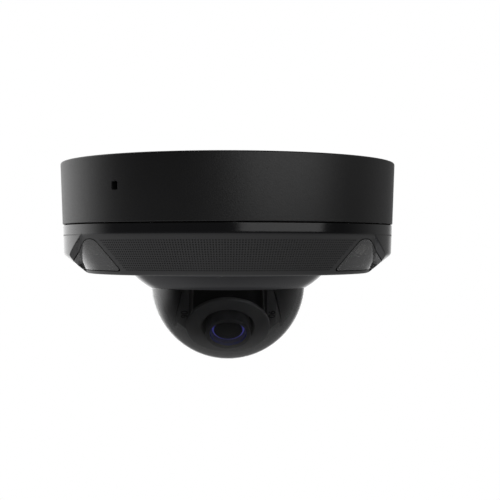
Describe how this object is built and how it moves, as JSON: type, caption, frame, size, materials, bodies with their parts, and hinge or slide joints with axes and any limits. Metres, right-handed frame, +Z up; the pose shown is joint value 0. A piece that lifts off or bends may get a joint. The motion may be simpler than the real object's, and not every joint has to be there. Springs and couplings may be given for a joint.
{
  "type": "dome security camera",
  "caption": "Ceiling dome camera with a drafted round housing, a faceted cover with two lamp windows and a clear dome over a lens that pans, tilts and rolls.",
  "frame": {"origin": "centre of the flat face that lies against the ceiling", "axes": "+Z up into the ceiling, -Y towards the front where the lens looks at rest, +X to the right seen from the front"},
  "size_m": [0.11, 0.11, 0.0644],
  "materials": {
    "black_coat": "fine-grained black powder coat on die-cast aluminium",
    "black_plastic": "smooth satin to gloss black moulding",
    "dark_plastic": "matt dark grey moulding",
    "smoked_clear": "clear grey polycarbonate, polished",
    "clear": "clear polycarbonate, polished",
    "rubber": "soft black silicone",
    "circuit": "green solder mask",
    "chip": "moulded black resin",
    "steel": "plain stainless steel",
    "black_steel": "black oxide",
    "aluminium": "drawn aluminium can",
    "lamp_white": "ivory moulding",
    "lens_glass": "coated optical glass with a violet reflection",
    "pad_grey": "soft grey thermal pad"
  },
  "bodies": {
    "housing": {"base_housing": "black_coat", "ceiling_gasket": "rubber", "cable_grommet": "rubber", "main_board": "circuit", "processor": "chip", "thermal_pad": "pad_grey", "network_transformer": "chip", "cable_header": "lamp_white", "card_slot": "steel", "reset_switch": "dark_plastic", "microphone_boot": "rubber", "microphone": "aluminium", "board_screw_1": "steel", "board_screw_2": "steel", "board_screw_3": "steel", "gimbal_bracket": "steel", "pan_bearing": "dark_plastic", "bracket_screw_1": "steel", "bracket_screw_2": "steel", "bracket_screw_3": "steel", "lamp_board_left": "circuit", "lamp_board_right": "circuit", "lamp_front_left": "lamp_white", "lamp_front_right": "lamp_white", "lamp_side_left": "lamp_white", "lamp_side_right": "lamp_white", "lamp_carrier_left": "dark_plastic", "lamp_carrier_right": "dark_plastic"},
    "cover": {"front_cover": "black_plastic", "cover_gasket": "rubber", "cover_screw_1": "steel", "cover_screw_2": "steel", "cover_screw_3": "steel", "lamp_window_left": "smoked_clear", "lamp_window_right": "smoked_clear", "dome_ring": "black_plastic", "dome_gasket": "rubber", "clear_dome": "clear", "dome_clamp": "steel", "clamp_screw_1": "steel", "clamp_screw_2": "steel", "clamp_screw_3": "steel"},
    "pan_gimbal": {"pan_yoke": "dark_plastic", "pan_retainer": "steel", "liner_left": "dark_plastic", "liner_right": "dark_plastic"},
    "tilt_module": {"module_shell": "dark_plastic", "tilt_pivot_left": "black_steel", "tilt_pivot_right": "black_steel"},
    "lens_unit": {"lens_face": "dark_plastic", "lens_holder": "dark_plastic", "lens_barrel": "black_steel", "front_lens": "lens_glass", "sensor_board": "circuit", "image_sensor": "chip"},
    "memory_card": {"memory_card": "dark_plastic"},
    "reset_button": {"reset_button": "lamp_white"}
  },
  "joints": [
    {"name": "cover_release", "type": "slide", "parent": "housing", "child": "cover", "axis": [0, 0, -1], "range_m": [0, 0.05]},
    {"name": "pan", "type": "hinge", "parent": "housing", "child": "pan_gimbal", "pos_m": [0, 0, -0.0233], "axis": [0, 0, 1], "range_deg": [-175, 175]},
    {"name": "tilt", "type": "hinge", "parent": "pan_gimbal", "child": "tilt_module", "pos_m": [0, 0, -0.03885], "axis": [1, 0, 0], "range_deg": [-30, 45]},
    {"name": "lens_roll", "type": "hinge", "parent": "tilt_module", "child": "lens_unit", "pos_m": [0, 0, -0.03885], "axis": [0, -0.7071, -0.7071], "range_deg": [-175, 175]},
    {"name": "card_slide", "type": "slide", "parent": "housing", "child": "memory_card", "axis": [0, -1, 0], "range_m": [0, 0.012]},
    {"name": "reset_press", "type": "slide", "parent": "housing", "child": "reset_button", "axis": [0, 0, 1], "range_m": [0, 0.0004], "stiffness_N_per_m": 1500, "springref_m": -0.0002}
  ]
}
